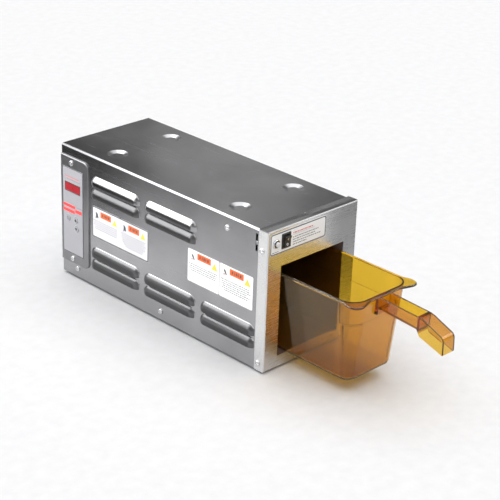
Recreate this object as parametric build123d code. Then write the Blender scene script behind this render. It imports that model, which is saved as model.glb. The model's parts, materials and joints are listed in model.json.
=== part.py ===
from build123d import *
import os
from math import radians, tan

# Single-slot heated holding cabinet with a slide-in pan. Millimetres.
# Everything is modelled in the cabinet's own frame: x across, from the control side (-) to the far
# side (+), y back from the slot face, z up from the wrap's lower edge. save() moves it into the row's
# frame, whose origin is under the middle of the whole object, on the surface that the feet stand on.

# ---------------------------------------------------------------- driving dimensions
CAB_W = 168.0  # over the face frame's side flanges
CAB_H = 200.0  # over the face frame's top flange, feet not counted
CAB_L = 416.0  # slot face to the wrap's back edge
FOOT_H = 3.0  # feet below the wrap's lower edge
SHEET = 1.0  # stainless sheet
GAP = 0.2  # between sheets that pass each other

SLOT_W = 118.0
SLOT_LOW = 16.4  # slot's lower edge
SLOT_H = 130.6
CAVITY_L = 336.0  # slot face to the cavity's rear wall
FLANGE = 17.0  # face frame's return flanges
FACE_T = 1.2  # face panel
FACE_BEND = 2.0  # outer radius of its bends

PAN_REACH = 232.0  # slot face to the handle's end, with the pan at rest
PAN_LOW = 16.9  # underside of the pan
PAN_RIM = 135.0
PAN_L = 330.0  # outer length of the walls at the rim
PAN_FRONT = 122.8  # slot face to the front wall at the rim, with the pan at rest
PAN_W = 111.4  # outer width of the walls at the rim
PAN_WALL = 2.4
PAN_FLOOR = 3.0
PAN_CORNER = 12.0  # plan radius of the corners at the bottom
PAN_SHOULDER = 100.0  # height of the nesting step
STEP_OUT = 1.2  # how far the walls step out there
DRAFT_LOW = 5.8  # degrees, below the step
DRAFT_HIGH = 4.2  # degrees, above it
PANEL_PROUD = 0.8  # how far the flat panels between the corners stand out
PANEL_IN = 10.5  # panel edges from the outline's corners
LIP_T = 2.4
LIP_ROUND = 2.0  # outer edge of the lip
SKIRT_DEPTH = 6.1  # below the lip, under the two ears
HANDLE_W = 24.0
TROUGH_Y = (-192.0, -118.0)
CHANNEL_Y = (-PAN_REACH, -188.4)

INLET_PROUD = 2.2  # power inlet's rim behind the wrap's back edge
LOUVRE_OUT = 5.5
LOUVRE_H = 15.0
LOUVRE_BELLY = 4.0  # a hood is at its fullest this far above its lip
LOUVRE_L = 104.0
LOUVRE_COLUMNS = (18.0, 132.5, 246.5)  # near end of each column of louvres
LOUVRE_HIGH_ROWS = (138.0, 155.5)  # lips of the upper pair
LOUVRE_LOW_ROWS = (28.5, 46.5)  # lips of the lower pair

FOOT_X = 50.0  # feet and stacking dimples, each way from the middle
FOOT_YS = (86.0, 332.0)

SCREW_R = 1.9
SCREW_HOLE_R = 2.1
SCREW_HEAD_R = 4.0
SCREW_HEAD_H = 2.0
SCREW_L = 8.0
FLANGE_SCREWS = ((10.5, 171.0), (10.5, 10.7))  # y, z on each side
LOW_SIDE_SCREWS = ((202.0, 12.5), (382.6, 13.3))
BRACE_SCREW = (75.0, 181.7)
BEZEL_SCREWS = ((392.0, 175.3), (390.5, 27.4))

BEZEL_Y = (355.5, CAB_L)
BEZEL_Z = (20.0, 184.0)
BEZEL_OUT = 2.4
BEZEL_T = 1.2
CONTROL_WINDOW = ((368.0, 411.0), (38.0, 165.0))  # opening in the wrap behind the bezel
OVERLAY_Y = (366.5, 412.0)
OVERLAY_Z = (35.0, 167.5)
OVERLAY_T = 0.4
DISPLAY_Y = (373.0, 406.0)
DISPLAY_Z = (132.0, 144.0)
BARS = (
    ((384.0, 410.5), (106.6, 111.0)),
    ((385.0, 410.5), (99.0, 103.6)),
    ((369.5, 383.6), (101.6, 106.8)),
)
POWER_AT = (399.6, 89.4)  # y, z
UP_AT = (382.4, 90.4)
DOWN_AT = (381.5, 76.6)
BUTTON_R = 4.4
BUTTON_GAP = 0.3

ROCKER_AT = (-52.0, 181.2)  # x, z
ROCKER_PIVOT_Y = 2.0
ROCKER_TILT = 9.0  # degrees each way
PIVOT_R = 1.5
BREAKER_AT = (-70.0, 181.0)
LABEL_T = 0.25

ELEMENT_R = 3.2
ELEMENT_XS = (-25.0, 25.0)
PLATE_T = 3.0  # heat plates over and under the cavity
PLATE_Y = (20.0, 330.0)
PROBE_AT = (-30.0, 100.0)  # x, z on the cavity's rear wall
LIMIT_AT = (30.0, 90.0)
HARNESS_X = -30.0
HARNESS_Z = 192.5
HARNESS_R = 2.2
INLET_AT = (40.0, 40.0)  # x, z
BLADE_LOW = -1.2  # the two power blades and the earth blade, from the inlet's middle
BLADE_HIGH = 2.8
BACK_SCREWS = ((-70, 7), (70, 7), (-60, 190), (60, 190))  # x, z
AIR_SLOT_XS = (-30, 30)
AIR_SLOT_ZS = range(90, 171, 10)

# ---------------------------------------------------------------- derived dimensions
FACE_Y = PAN_REACH - (PAN_REACH + CAB_L + INLET_PROUD) / 2  # slot face in the row's frame
WRAP_X = CAB_W / 2 - SHEET  # wrap's outer side face
WRAP_IN = WRAP_X - SHEET
WRAP_TOP = CAB_H - SHEET
SLOT_X = SLOT_W / 2
SLOT_HIGH = SLOT_LOW + SLOT_H
LINER_X = SLOT_X + SHEET
LINER_LOW = SLOT_LOW - SHEET
LINER_HIGH = SLOT_HIGH + SHEET
FLOOR_LOW = SHEET  # base pan's underside, on the face frame's lower flange
FLOOR_TOP = 2 * SHEET
BULKHEAD_Y = CAVITY_L + 14.0
BAY_Y = BULKHEAD_Y + SHEET  # front of the electronics bay
BACK_Y = CAB_L - SHEET  # back panel's outer face
BOARD_X = -WRAP_IN + 3.0  # control board's outer face
UPPER_PLATE = (LINER_HIGH, LINER_HIGH + PLATE_T)
LOWER_PLATE = (LINER_LOW - PLATE_T, LINER_LOW)
ELEMENT_ZS = (LOWER_PLATE[0] - ELEMENT_R - 0.1, UPPER_PLATE[1] + ELEMENT_R + 0.1)


# ---------------------------------------------------------------- helpers
def block(x, y, z):
    """A box from its low and high limits along each axis."""
    spans = (x, y, z)
    middle = [(low + high) / 2 for low, high in spans]
    size = [high - low for low, high in spans]
    return Pos(*middle) * Box(*size)


def rod(start, direction, length, radius):
    """A cylinder that starts at a point."""
    plane = Plane(origin=start, z_dir=direction)
    return extrude(plane * Circle(radius), length)


def prism(points, half_width):
    """A closed outline of (y, z) points, as wide each way from x = 0."""
    return extrude(Plane.YZ * Polygon(*points, align=None), half_width, both=True)


def both_sides(piece):
    """The piece and its mirror image across the cabinet."""
    return [piece, mirror(piece, about=Plane.YZ)]


def around(centre, half):
    """Limits each way from a centre."""
    return (centre - half, centre + half)


def save(node, *pieces):
    """Write one sub-part, moved into the row's frame."""
    place = Location((0, FACE_Y, FOOT_H))
    solids = [solid.moved(place) for piece in pieces for solid in piece.solids()]
    export_step(Compound(solids), f"parts/{node}.step")


def screw(point, direction, length=SCREW_L):
    """A cross-recess pan-head screw: its head stands on the point, its shank runs back from it."""
    head = Pos(0, 0, SCREW_HEAD_H / 2) * Cylinder(SCREW_HEAD_R, SCREW_HEAD_H)
    head = fillet(head.edges().sort_by(Axis.Z)[-1], 1.3)
    bar = Pos(0, 0, SCREW_HEAD_H) * Box(4.6, 1.1, 2.0)
    head = head - bar - Rot(0, 0, 90) * bar
    shank = Pos(0, 0, -length / 2) * Cylinder(SCREW_R, length + 0.2)
    return Plane(origin=point, z_dir=direction).location * (head + shank)


def clear_screws(side_points):
    """Clearance holes through both sides of the cabinet at (y, z) points."""
    return [rod((-CAB_W, y, z), (1, 0, 0), 2 * CAB_W, SCREW_HOLE_R) for y, z in side_points]


# ---------------------------------------------------------------- sheet metal
def louvre_radius():
    """Radius of a hood that stands LOUVRE_OUT out of the sheet at its belly."""
    reach = LOUVRE_H - LOUVRE_BELLY
    return (LOUVRE_OUT**2 + reach**2) / (2 * LOUVRE_OUT)


def louvre_capsule(radius, y, lip):
    """A round bar with ball ends behind the near side; the part of it outside the sheet is one hood."""
    reach = LOUVRE_H - LOUVRE_BELLY
    run = LOUVRE_L - 2 * reach
    start = (-WRAP_X - LOUVRE_OUT + louvre_radius(), y + reach, lip + LOUVRE_BELLY)
    bar = rod(start, (0, 1, 0), run, radius)
    ends = [Pos(start[0], start[1] + along, start[2]) * Sphere(radius) for along in (0, run)]
    return bar + ends


def louvre(y, lip):
    """One stamped hood on the near side, open at its lower lip, and the opening behind it."""
    above = (lip, lip + 2 * LOUVRE_H)
    along = (y - LOUVRE_H, y + LOUVRE_L + LOUVRE_H)
    outside = block((-CAB_W, -WRAP_X + SHEET / 2), along, above)
    through = block((-CAB_W, -WRAP_IN + SHEET / 2), along, above)
    hood = louvre_capsule(louvre_radius(), y, lip) & outside
    inside = louvre_capsule(louvre_radius() - SHEET, y, lip) & through
    return hood, inside


def dimple(x, y):
    """A stamped stacking dimple in the top sheet: the metal under it, and the hollow."""
    depth = 2.5
    under = Pos(x, y, WRAP_TOP - SHEET / 2 - depth / 2) * Cone(9.3, 15.3, depth + SHEET)
    hollow = Pos(x, y, WRAP_TOP - depth / 2) * Cone(8.5, 15.0, depth)
    return under, hollow


def outer_wrap():
    """The folded top and sides."""
    start = FACE_T + 2 * GAP
    shell = block((-WRAP_X, WRAP_X), (start, CAB_L), (0, WRAP_TOP))
    shell = fillet(shell.edges().filter_by(Axis.Y).group_by(Axis.Z)[-1], 3.0)
    hollow = block((-WRAP_IN, WRAP_IN), (-1, CAB_L + 1), (-1, WRAP_TOP - SHEET))
    hollow = fillet(hollow.edges().filter_by(Axis.Y).group_by(Axis.Z)[-1], 2.0)
    shell = shell - hollow
    rear_fold = block((-70, 70), (BACK_Y - 2.1, BACK_Y - 1.1), (184, WRAP_TOP - SHEET / 2))
    rows = LOUVRE_HIGH_ROWS + LOUVRE_LOW_ROWS
    spots = [(y, lip) for y in LOUVRE_COLUMNS[1:] for lip in rows]
    spots += [(LOUVRE_COLUMNS[0], lip) for lip in LOUVRE_LOW_ROWS]
    first_hood, first_inside = louvre(0, 0)
    hoods, openings = [], []
    for y, lip in spots:
        hoods += both_sides(Pos(0, y, lip) * first_hood)
        openings += both_sides(Pos(0, y, lip) * first_inside)
    for x in (-FOOT_X, FOOT_X):
        for y in FOOT_YS:
            under, hollow = dimple(x, y)
            hoods.append(under)
            openings.append(hollow)
    openings += both_sides(block((-CAB_W, -WRAP_IN + 1), (19.5, 23.2), (167.6, 191.8)))
    openings.append(block((-CAB_W, CAB_W), (0, FLANGE + GAP), (-1, SHEET + GAP)))
    openings.append(block((-CAB_W, -WRAP_IN + 1), *CONTROL_WINDOW))
    openings += clear_screws(FLANGE_SCREWS + LOW_SIDE_SCREWS + (BRACE_SCREW,))
    openings += [rod((-CAB_W, y, z), (1, 0, 0), CAB_W, SCREW_HOLE_R) for y, z in BEZEL_SCREWS]
    openings += [rod((x, BACK_Y - 5, 190), (0, 1, 0), 10, SCREW_HOLE_R) for x in (-60, 60)]
    return (shell + rear_fold + hoods) - openings


def front_frame():
    """Face panel with the slot and four return flanges."""
    half = CAB_W / 2
    shell = block((-half, half), (0, FLANGE), (0, CAB_H))
    front = shell.edges().group_by(Axis.Y)[0]
    shell = fillet(front, FACE_BEND)
    shell -= block((-WRAP_X, WRAP_X), (FACE_T, FLANGE + 1), (SHEET, WRAP_TOP))
    shell -= block((-SLOT_X, SLOT_X), (-1, FLANGE), (SLOT_LOW, SLOT_HIGH))
    shell -= block((-5.0, -1.0), (FLANGE - 2.0, FLANGE + 1), (WRAP_TOP - 1, CAB_H + 1))
    x, z = ROCKER_AT
    shell -= block(around(x, 6.6), (-1, 3), around(z, 9.4))
    x, z = BREAKER_AT
    shell -= rod((x, -1, z), (0, 1, 0), 4, 5.0)
    return shell - clear_screws(FLANGE_SCREWS)


def base_pan():
    """Floor sheet with upturned sides and ends."""
    half = WRAP_IN
    front, rear = 2.4, BACK_Y - 1.2
    floor = block((-half, half), (front, rear), (FLOOR_LOW, FLOOR_TOP))
    sides = both_sides(block((-half, -half + SHEET), (front, rear), (FLOOR_LOW, 22)))
    ends = [block((-half + 2, half - 2), (y, y + SHEET), (FLOOR_LOW, 10)) for y in (front, rear - SHEET)]
    sheet = floor + sides + ends
    sheet -= clear_screws(FLANGE_SCREWS[1:] + LOW_SIDE_SCREWS)
    holes = [rod((x, y, 0), (0, 0, 1), 4, SCREW_HOLE_R) for x in (-FOOT_X, FOOT_X) for y in FOOT_YS]
    holes += [rod((x, rear - 5, 7), (0, 1, 0), 10, SCREW_HOLE_R) for x in (-70, 70)]
    slots = [block(around(x, 2.0), (366, 400), (0, 4)) for x in range(-36, 37, 12)]
    return sheet - holes - slots


def back_panel():
    """Rear sheet with air slots and the inlet's cut-out."""
    half = WRAP_IN - GAP
    sheet = block((-half, half), (BACK_Y - SHEET, BACK_Y), (FLOOR_TOP + GAP, WRAP_TOP - SHEET - GAP))
    sheet = fillet(sheet.edges().filter_by(Axis.Y).group_by(Axis.Z)[-1], 2.2)
    sheet += both_sides(block((-half, -half + SHEET), (BACK_Y - 13, BACK_Y - SHEET / 2), (24, 195)))
    sheet -= block((-CAB_W, 0), (0, BACK_Y - SHEET), CONTROL_WINDOW[1])
    through = (BACK_Y - 3, BACK_Y + 1)
    sheet -= [block(around(x, 20), through, around(z, 2.0)) for x in AIR_SLOT_XS for z in AIR_SLOT_ZS]
    sheet -= block(around(INLET_AT[0], 13.7), through, around(INLET_AT[1], 10.1))
    return sheet - [rod((x, BACK_Y - 5, z), (0, 1, 0), 10, SCREW_HOLE_R) for x, z in BACK_SCREWS]


def hook_brackets():
    """Inner angles behind the face flanges, each with the rounded tab that shows in its slot."""
    x = (-WRAP_IN, -WRAP_IN + SHEET)
    plate = block(x, (3, 18.8), (160, 194))
    finger = block(x, (18, 22.6), (176, 181.6))
    tab = block((-WRAP_X + GAP, -WRAP_IN + SHEET), (20, 22.6), (176, 181.6))
    tab = fillet(tab.edges().filter_by(Axis.Y).group_by(Axis.X)[0], 0.7)
    return both_sides((plate + finger + tab) - clear_screws(FLANGE_SCREWS[:1]))


def cross_brace():
    """Channel across the cabinet under the top."""
    y = around(BRACE_SCREW[0], 8)
    plate = block((-WRAP_IN, WRAP_IN), y, (186, 187))
    tabs = both_sides(block((-WRAP_IN, -WRAP_IN + SHEET), y, (172, 187)))
    return (plate + tabs) - clear_screws((BRACE_SCREW,))


def bulkhead():
    """Sheet between the hot cavity and the electronics bay."""
    half = WRAP_IN - SHEET - GAP
    top = WRAP_TOP - SHEET - GAP
    sheet = block((-half, half), (BULKHEAD_Y, BAY_Y), (FLOOR_TOP, top))
    sheet += both_sides(block((-half, -half + SHEET), (BULKHEAD_Y, BAY_Y + 8), (24, top)))
    sheet += block((-half, half), (BULKHEAD_Y, BAY_Y + 8), (FLOOR_TOP, FLOOR_TOP + SHEET))
    holes = [rod((x, BULKHEAD_Y - 1, z), (0, 1, 0), 4, 3.8) for x in ELEMENT_XS for z in ELEMENT_ZS]
    holes.append(rod((HARNESS_X, BULKHEAD_Y - 1, HARNESS_Z), (0, 1, 0), 4, 4.0))
    holes.append(rod((PROBE_AT[0], BULKHEAD_Y - 1, PROBE_AT[1]), (0, 1, 0), 4, 4.0))
    return sheet - holes


# ---------------------------------------------------------------- hot cavity
def cavity_liner():
    """Dark sheet tunnel, closed at the back, with a flange behind the face panel."""
    tube = block((-LINER_X, LINER_X), (FACE_T, CAVITY_L + SHEET), (LINER_LOW, LINER_HIGH))
    flange = block(around(0, LINER_X + 4), (FACE_T, FACE_T + SHEET), (LINER_LOW - 4, LINER_HIGH + 4))
    hollow = block((-SLOT_X, SLOT_X), (0, CAVITY_L), (SLOT_LOW, SLOT_HIGH))
    probe = rod((PROBE_AT[0], CAVITY_L - 1, PROBE_AT[1]), (0, 1, 0), 4, 2.2)
    return (tube + flange) - hollow - probe


def element(z):
    """U-shaped sheathed heating element, its ends through the bulkhead."""
    left, right = ELEMENT_XS
    near, far = 30.0, BAY_Y + 7
    points = [(left, far, z), (left, near, z), (right, near, z), (right, far, z)]
    path = FilletPolyline(*points, radius=20)
    return sweep(Plane(origin=points[0], z_dir=(0, -1, 0)) * Circle(ELEMENT_R), path)


def element_clips():
    """Saddle clips that hold the elements on their plates."""
    clips = []
    for z, plate, away in ((ELEMENT_ZS[0], LOWER_PLATE[0], -1), (ELEMENT_ZS[1], UPPER_PLATE[1], 1)):
        top = z + away * (ELEMENT_R + 1.1)
        for x in ELEMENT_XS:
            for y in (90, 270):
                strap = block(around(x, 9), around(y, 5), sorted((plate, plate + away * SHEET)))
                strap += block(around(x, ELEMENT_R + 1.1), around(y, 5), sorted((plate, top)))
                channel = block(around(x, ELEMENT_R + 0.1), around(y, 6), sorted((plate, z)))
                clips.append(strap - channel - rod((x, y - 6, z), (0, 1, 0), 12, ELEMENT_R + 0.1))
    return clips


def insulation():
    """Blanket pads over, beside and behind the cavity."""
    top = block((-58, 58), (60, 335), (160, 184))
    sides = both_sides(block((-73, -LINER_X - 1), (20, 335), (16, 150)))
    rear = block((-58, 58), (CAVITY_L + 3, BULKHEAD_Y - 1), (16, 147))
    rear -= rod((LIMIT_AT[0], CAVITY_L, LIMIT_AT[1]), (0, 1, 0), 20, 10)
    rear -= rod((PROBE_AT[0], CAVITY_L, PROBE_AT[1]), (0, 1, 0), 20, 4)
    return top, sides, rear


# ---------------------------------------------------------------- control panel on the near side
def windows(grow=0.0):
    """Display and indicator openings through the bezel and its overlay."""
    places = [(DISPLAY_Y, DISPLAY_Z)] + list(BARS)
    x = (-CAB_W, -WRAP_X)
    return [block(x, (y[0] - grow, y[1] + grow), (z[0] - grow, z[1] + grow)) for y, z in places]


def button_holes():
    """Openings for the three push buttons."""
    radius = BUTTON_R + BUTTON_GAP
    return [rod((-CAB_W, y, z), (1, 0, 0), CAB_W, radius) for y, z in (POWER_AT, UP_AT, DOWN_AT)]


def control_bezel():
    """Raised tray that carries the overlay, with rounded corners towards the slot face."""
    out = -WRAP_X - BEZEL_OUT
    tray = block((out, -WRAP_X), BEZEL_Y, BEZEL_Z)
    corners = tray.edges().filter_by(Axis.X).group_by(Axis.Y)[0]
    tray = fillet(corners, 10)
    tray = fillet(tray.faces().sort_by(Axis.X)[0].edges(), 0.8)
    inner_y = (BEZEL_Y[0] + BEZEL_T, BEZEL_Y[1] - BEZEL_T)
    inner_z = (BEZEL_Z[0] + BEZEL_T, BEZEL_Z[1] - BEZEL_T)
    hollow = block((out + BEZEL_T, -WRAP_X + 1), inner_y, inner_z)
    hollow = fillet(hollow.edges().filter_by(Axis.X).group_by(Axis.Y)[0], 10 - BEZEL_T)
    holes = [rod((-CAB_W, y, z), (1, 0, 0), CAB_W, SCREW_HOLE_R) for y, z in BEZEL_SCREWS]
    return tray - hollow - windows() - button_holes() - holes


def control_overlay():
    """Printed sheet on the bezel."""
    out = -WRAP_X - BEZEL_OUT
    sheet = block((out - OVERLAY_T, out), OVERLAY_Y, OVERLAY_Z)
    return sheet - windows() - button_holes()


def display_window():
    """Red lens of the display."""
    return block((-WRAP_X - BEZEL_OUT - OVERLAY_T - 0.1, -WRAP_X - 1.2), *shrink(DISPLAY_Y, DISPLAY_Z))


def shrink(y, z, by=0.1):
    """Limits drawn in by a little."""
    return (y[0] + by, y[1] - by), (z[0] + by, z[1] - by)


def indicator_bars():
    """Red light pipes beside the buttons."""
    x = (-WRAP_X - BEZEL_OUT - OVERLAY_T - 0.2, -WRAP_X + 1)
    return [block(x, *shrink(y, z)) for y, z in BARS]


def push_button(at):
    """Domed cap with a retaining flange behind the bezel and a stem to its switch."""
    y, z = at
    out = -WRAP_X - BEZEL_OUT - OVERLAY_T - 0.9
    flange_x = -WRAP_X - BEZEL_OUT + BEZEL_T + 0.1
    cap = rod((out, y, z), (1, 0, 0), flange_x - out + 0.5, BUTTON_R)
    cap = fillet(cap.edges().sort_by(Axis.X)[0], 0.8)
    flange = rod((flange_x, y, z), (1, 0, 0), 0.9, BUTTON_R + 0.9)
    stem = rod((flange_x, y, z), (1, 0, 0), 1.8, 1.5)
    return cap + flange + stem


def control_board():
    """Circuit board behind the bezel."""
    return block((BOARD_X, BOARD_X + 1.6), (369, 411), (40, 164))


def board_standoffs():
    """Spacers from the bezel to the board."""
    start = -WRAP_X - BEZEL_OUT + BEZEL_T
    return [
        rod((start, y, z), (1, 0, 0), BOARD_X - start, 2.2)
        for y in (373.5, 406)
        for z in (46, 158)
    ]


def tact_switches():
    """Three small switches on the board."""
    bodies = []
    for y, z in (POWER_AT, UP_AT, DOWN_AT):
        body = block((BOARD_X - 1.6, BOARD_X), around(y, 3), around(z, 3))
        bodies.append(body + rod((BOARD_X - 1.8, y, z), (1, 0, 0), 1, 1.6))
    return bodies


def display_module():
    """Three-digit display block on the board."""
    body = block((-WRAP_X - 1.0, BOARD_X), (374.5, 404.5), (132.5, 143.5))
    grooves = [block((-WRAP_X - 2, -WRAP_X - 0.6), around(y, 0.3), (130, 146)) for y in (384.5, 394.5)]
    return body - grooves


# ---------------------------------------------------------------- electronics bay
def transformer():
    """Laminated core and the winding through it."""
    core = block((-55, -10), (364, 396), (3, 43))
    core -= block((-48.5, -16.5), (360, 400), (9.5, 36.5))
    coil = block((-48.3, -16.7), (358, 402), (9.7, 36.3))
    return core, fillet(coil.edges().filter_by(Axis.Y), 3)


def solid_state_relay():
    """Heater relay on the bulkhead, with two terminal recesses at each end."""
    body = block((15, 60), (BAY_Y, BAY_Y + 22), (80, 138))
    body = fillet(body.edges().filter_by(Axis.Y), 2)
    deep = (BAY_Y + 15, BAY_Y + 23)
    return body - [block(around(x, 6), deep, around(z, 5)) for x in (26, 49) for z in (87, 131)]


def terminal_block():
    """Five-pole terminal strip on the bulkhead."""
    body = block((-62, -2), (BAY_Y, BAY_Y + 16), (120, 136))
    poles = range(-56, -7, 12)
    body -= [rod((x, BAY_Y + 10, 128), (0, 1, 0), 7, 2.6) for x in poles]
    return body - [block(around(x + 6, 0.6), (BAY_Y + 12, BAY_Y + 17), (119, 137)) for x in poles[:-1]]


def power_inlet():
    """Mains inlet socket and its three blades."""
    x, z = INLET_AT
    rim = block(around(x, 15.4), (BACK_Y, CAB_L + INLET_PROUD), around(z, 11.3))
    rim = fillet(rim.edges().filter_by(Axis.Y), 2)
    body = block(around(x, 13.5), (BACK_Y - 22, BACK_Y + 1), around(z, 9.9))
    recess = block(around(x, 12.1), (CAB_L + INLET_PROUD - 15.5, CAB_L + 5), around(z, 8.1))
    recess = chamfer(recess.edges().filter_by(Axis.Y).group_by(Axis.Z)[-1], 3.5)
    spots = ((x - 7, z + BLADE_LOW), (x + 7, z + BLADE_LOW), (x, z + BLADE_HIGH))
    blades = [block(around(px, 1.0), (BACK_Y - 28, BACK_Y - 0.5), around(pz, 2.0)) for px, pz in spots]
    slots = [block(around(px, 1.05), (BACK_Y - 28, BACK_Y), around(pz, 2.05)) for px, pz in spots]
    return (rim + body) - recess - slots, blades


# ---------------------------------------------------------------- switch and breaker in the face
def switch_housing():
    """Rocker switch body with its rim on the face."""
    x, z = ROCKER_AT
    rim = block(around(x, 7.75), (-1.8, 0), around(z, 10.25))
    rim = fillet(rim.faces().sort_by(Axis.Y)[0].edges(), 0.6)
    body = block(around(x, 6.5), (-0.5, 18), around(z, 9.3))
    well = block(around(x, 5.3), (-3, 9), around(z, 8.6))
    pivot = rod((x - 6.1, ROCKER_PIVOT_Y, z), (1, 0, 0), 12.2, PIVOT_R + 0.05)
    slots = [block(around(x, 2.45), (8, 20), around(z + step, 0.45)) for step in (-5, 5)]
    return (rim + body) - well - pivot - slots


def switch_terminals():
    """Two blades at the back of the switch."""
    x, z = ROCKER_AT
    return [block(around(x, 2.4), (10, 26), around(z + step, 0.4)) for step in (-5, 5)]


def rocker_paddle():
    """Rocker with a shallow V face and stub pins, tilted with its upper end out."""
    x, z = ROCKER_AT
    outline = [(-4.8, 7.8), (-2.9, 0), (-4.8, -7.8), (1.0, -7.2), (3.5, -3), (3.5, 3), (1.0, 7.2)]
    paddle = prism(outline, 5.0)
    paddle = fillet(paddle.edges().filter_by(Axis.X).group_by(Axis.Y)[0], 0.8)
    paddle += rod((-5.9, ROCKER_PIVOT_Y, 0), (1, 0, 0), 11.8, PIVOT_R)
    pivot = Axis((0, ROCKER_PIVOT_Y, 0), (1, 0, 0))
    return Pos(x, 0, z) * paddle.rotate(pivot, ROCKER_TILT)


def breaker():
    """Push-to-reset breaker: body with its bushing, ring nut and button."""
    x, z = BREAKER_AT
    body = rod((x, FACE_T, z), (0, 1, 0), 27, 7.2) + rod((x, -2.6, z), (0, 1, 0), 6, 4.7)
    body -= rod((x, -4, z), (0, 1, 0), 14, 3.4)
    nut = rod((x, -2.2, z), (0, 1, 0), 2.2, 5.8) - rod((x, -3, z), (0, 1, 0), 4, 4.75)
    rings = nut.edges().filter_by(GeomType.CIRCLE).group_by(Axis.Y)[0]
    nut = chamfer(rings.sort_by(SortBy.RADIUS)[-1], 0.5)
    button = rod((x, -5.6, z), (0, 1, 0), 12, 3.35)
    return body, nut, fillet(button.edges().filter_by(GeomType.CIRCLE).sort_by(Axis.Y)[0], 0.8)


def wire_harness():
    """Sleeved leads from the switch, along under the top and down to the relay."""
    x, z = ROCKER_AT
    points = [
        (x, 27, z),
        (x, 44, z),
        (HARNESS_X, 64, HARNESS_Z),
        (HARNESS_X, 372, HARNESS_Z),
        (HARNESS_X, 384, 140),
    ]
    path = FilletPolyline(*points, radius=(6, 12, 8))
    return sweep(Plane(origin=points[0], z_dir=(0, 1, 0)) * Circle(HARNESS_R), path)


# ---------------------------------------------------------------- labels and feet
def side_label(y_spans, z_span):
    """Thin printed plates on the near side."""
    x = (-WRAP_X - LABEL_T, -WRAP_X)
    return [fillet(block(x, y, z_span).edges().filter_by(Axis.X), 2.0) for y in y_spans]


def face_label():
    """Plate round the switch and breaker."""
    plate = block((-80.4, 22.5), (-LABEL_T, 0), (165.5, 195.5))
    plate = fillet(plate.edges().filter_by(Axis.Y), 3.0)
    x, z = ROCKER_AT
    plate -= block(around(x, 8.0), (-2, 1), around(z, 10.5))
    x, z = BREAKER_AT
    return plate - rod((x, -2, z), (0, 1, 0), 4, 6.2)


def bumper_feet():
    """Rubber feet that nest in the dimples of a unit below."""
    height = FLOOR_LOW + FOOT_H
    foot = Pos(0, 0, -height / 2 + FLOOR_LOW) * Cone(7.8, 9.6, height)
    foot -= Pos(0, 0, -1) * Cylinder(SCREW_HOLE_R, 10)
    foot -= Pos(0, 0, -FOOT_H) * Cylinder(SCREW_HEAD_R + 0.4, 5.4)
    return [Pos(x, y, 0) * foot for x in (-FOOT_X, FOOT_X) for y in FOOT_YS]


# ---------------------------------------------------------------- pan
def drafted(half_w, y_front, y_back, radius, low, high, draft):
    """A solid on a rounded rectangle at its low end, growing upwards by the draft angle."""
    base = Pos(0, (y_back + y_front) / 2, low) * RectangleRounded(2 * half_w, y_back - y_front, radius)
    return extrude(base, high - low, taper=-draft)


def grown(rise, draft):
    """How far a drafted wall moves out over a rise."""
    return rise * tan(radians(draft))


def tub(inset, floor, step, top, bottom_round):
    """The tub's outer or inner form: two drafted stages, the lower one with panels between its corners."""
    grow_high = grown(PAN_RIM - PAN_SHOULDER, DRAFT_HIGH)
    grow_low = grown(PAN_SHOULDER - PAN_LOW, DRAFT_LOW) + STEP_OUT
    radius = PAN_CORNER + grow_low
    inset_high = inset - grown(step - PAN_SHOULDER, DRAFT_HIGH)
    edge = grow_high + inset_high
    half, front, back = PAN_W / 2 - edge, edge - PAN_FRONT, PAN_L - PAN_FRONT - edge
    form = drafted(half, front, back, radius - inset_high, step - 0.01, top, DRAFT_HIGH)
    inset_low = inset - grown(floor, DRAFT_LOW)
    edge = grow_high + grow_low + inset_low
    half, front, back = PAN_W / 2 - edge, edge - PAN_FRONT, PAN_L - PAN_FRONT - edge
    corners = (0, 0, PAN_CORNER - inset_low)
    end_panels = (-PANEL_IN, PANEL_PROUD, 1.0)
    side_panels = (PANEL_PROUD, -PANEL_IN, 1.0)
    for wider, longer, radius in (corners, end_panels, side_panels):
        low = PAN_LOW + floor
        stage = drafted(half + wider, front - longer, back + longer, radius, low, step, DRAFT_LOW)
        form += fillet(stage.edges().group_by(Axis.Z)[0], bottom_round)
    return form


def rim_outline(shrunk=0.0):
    """Plan of the rim: straight sides, and at the front two ears wider than the slot."""
    side, ear, ear_out, front = 57.4 - shrunk, 61.0 - shrunk, 132.5 - shrunk, 126.6 - shrunk
    back = PAN_L - PAN_FRONT + 2.0 - shrunk
    near = [(side, back), (side, -106.5), (ear, -117), (ear, -ear_out), (46, -ear_out), (29, -front)]
    far = [(-x, y) for x, y in reversed(near)]
    radii = [22, 14, 12, 11, 13, 13]
    outline = FilletPolyline(*near, *far, radius=radii + radii[::-1], close=True)
    return make_face(outline)


def rim():
    """Flat lip with a rounded edge, and the skirt that turns down under each ear."""
    lip = extrude(Pos(0, 0, PAN_RIM - LIP_T) * rim_outline(), LIP_T)
    lip = fillet(lip.edges().group_by(Axis.Z)[-1], LIP_ROUND)
    low = PAN_RIM - LIP_T - SKIRT_DEPTH
    ring = rim_outline() - rim_outline(2.2)
    skirt = extrude(Pos(0, 0, low) * ring, SKIRT_DEPTH + LIP_T / 3)
    skirt = skirt & [block(span, (-140, -109), (low - 1, PAN_RIM)) for span in ((-70, -24), (24, 70))]
    return lip + skirt


def rounded_prism(points, radii, half_width):
    """A closed outline of (y, z) points, each corner with its own radius, as wide each way from x = 0."""
    face = make_face(Polyline(*points, close=True))
    for point, radius in zip(points, radii):
        if radius:
            face = fillet(face.vertices().sort_by_distance((*point, 0))[0], radius)
    return extrude(Plane.YZ * face, half_width, both=True)


def side_edges(piece, half_width, wanted):
    """Edges on the two flat sides of a prism whose middle passes a test."""
    edges = piece.edges().filter_by(lambda edge: abs(abs(edge.center().X) - half_width) < 0.01)
    return edges.filter_by(lambda edge: wanted(edge.center()))


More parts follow.
